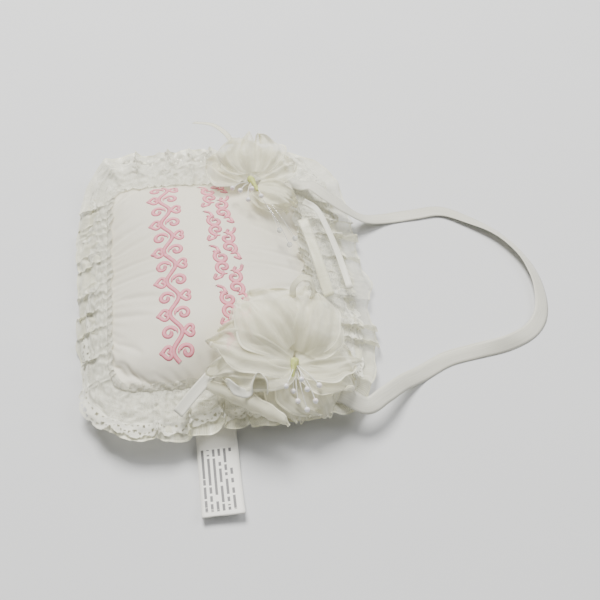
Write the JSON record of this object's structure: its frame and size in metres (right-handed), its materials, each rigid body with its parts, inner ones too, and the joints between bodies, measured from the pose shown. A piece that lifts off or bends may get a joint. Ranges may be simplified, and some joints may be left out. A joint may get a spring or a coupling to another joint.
{
  "type": "wedding door pillow",
  "caption": "Small ruffled satin pillow with corner flowers, two stitched rows, a sewn label and a ribbon hanger that swings up from its top edge.",
  "frame": {"origin": "middle of the flat underside of the back panel, where the pillow rests", "axes": "+X across the pillow towards its right side and label, +Y towards its top edge and hanger, +Z out of its front"},
  "size_m": [0.2087, 0.2424, 0.0515],
  "materials": {
    "ivory_satin": "soft satin, slight sheen",
    "wadding": "loose polyester fibre",
    "organza": "sheer crisp organza",
    "lace": "openwork lace with scalloped hem",
    "pink_thread": "satin stitch",
    "satin_ribbon": "woven satin ribbon",
    "label_cloth": "smooth woven tape, grey print lines with no words",
    "chiffon": "soft sheer chiffon",
    "green_tape": "florist's tape",
    "pearl": "pearly",
    "clear_bead": "clear faceted bead on clear thread"
  },
  "bodies": {
    "pillow": {"front_panel": "ivory_satin", "back_panel": "ivory_satin", "fibre_filling": "wadding", "organza_ruffle": "organza", "lace_ruffle": "lace", "lower_stitch_row": "pink_thread", "upper_stitch_row": "pink_thread", "right_flower_petal_1": "chiffon", "right_flower_petal_2": "chiffon", "right_flower_petal_3": "chiffon", "right_flower_petal_4": "chiffon", "right_flower_petal_5": "chiffon", "right_flower_calyx": "green_tape", "right_flower_stamen_1": "pearl", "right_flower_stamen_2": "pearl", "right_flower_stamen_3": "pearl", "right_flower_stamen_4": "pearl", "right_flower_stamen_5": "pearl", "right_flower_stamen_6": "pearl", "right_flower_stamen_7": "pearl", "right_flower_stamen_8": "pearl", "right_flower_stamen_9": "pearl", "right_lace_roll": "lace", "right_satin_tail": "satin_ribbon", "right_satin_curl": "satin_ribbon", "right_ribbon_loop": "satin_ribbon", "right_crystal_1": "clear_bead", "left_flower_petal_1": "chiffon", "left_flower_petal_2": "chiffon", "left_flower_petal_3": "chiffon", "left_flower_petal_4": "chiffon", "left_flower_calyx": "green_tape", "left_flower_stamen_1": "pearl", "left_flower_stamen_2": "pearl", "left_flower_stamen_3": "pearl", "left_flower_stamen_4": "pearl", "left_flower_stamen_5": "pearl", "left_satin_tail": "satin_ribbon", "left_organza_ribbon": "organza", "left_organza_streamer": "organza", "left_crystal_1": "clear_bead", "left_crystal_2": "clear_bead", "left_crystal_3": "clear_bead"},
    "hanger": {"hanger_ribbon": "satin_ribbon"},
    "label": {"care_label": "label_cloth"}
  },
  "joints": [
    {"name": "hanger_swing", "type": "hinge", "parent": "pillow", "child": "hanger", "pos_m": [0.008, 0.058, 0.0205], "axis": [1, 0, 0], "range_deg": [0, 90]},
    {"name": "label_flap", "type": "hinge", "parent": "pillow", "child": "label", "pos_m": [0.0644, -0.0045, 0.0075], "axis": [0, -1, 0], "range_deg": [0, 12]}
  ]
}
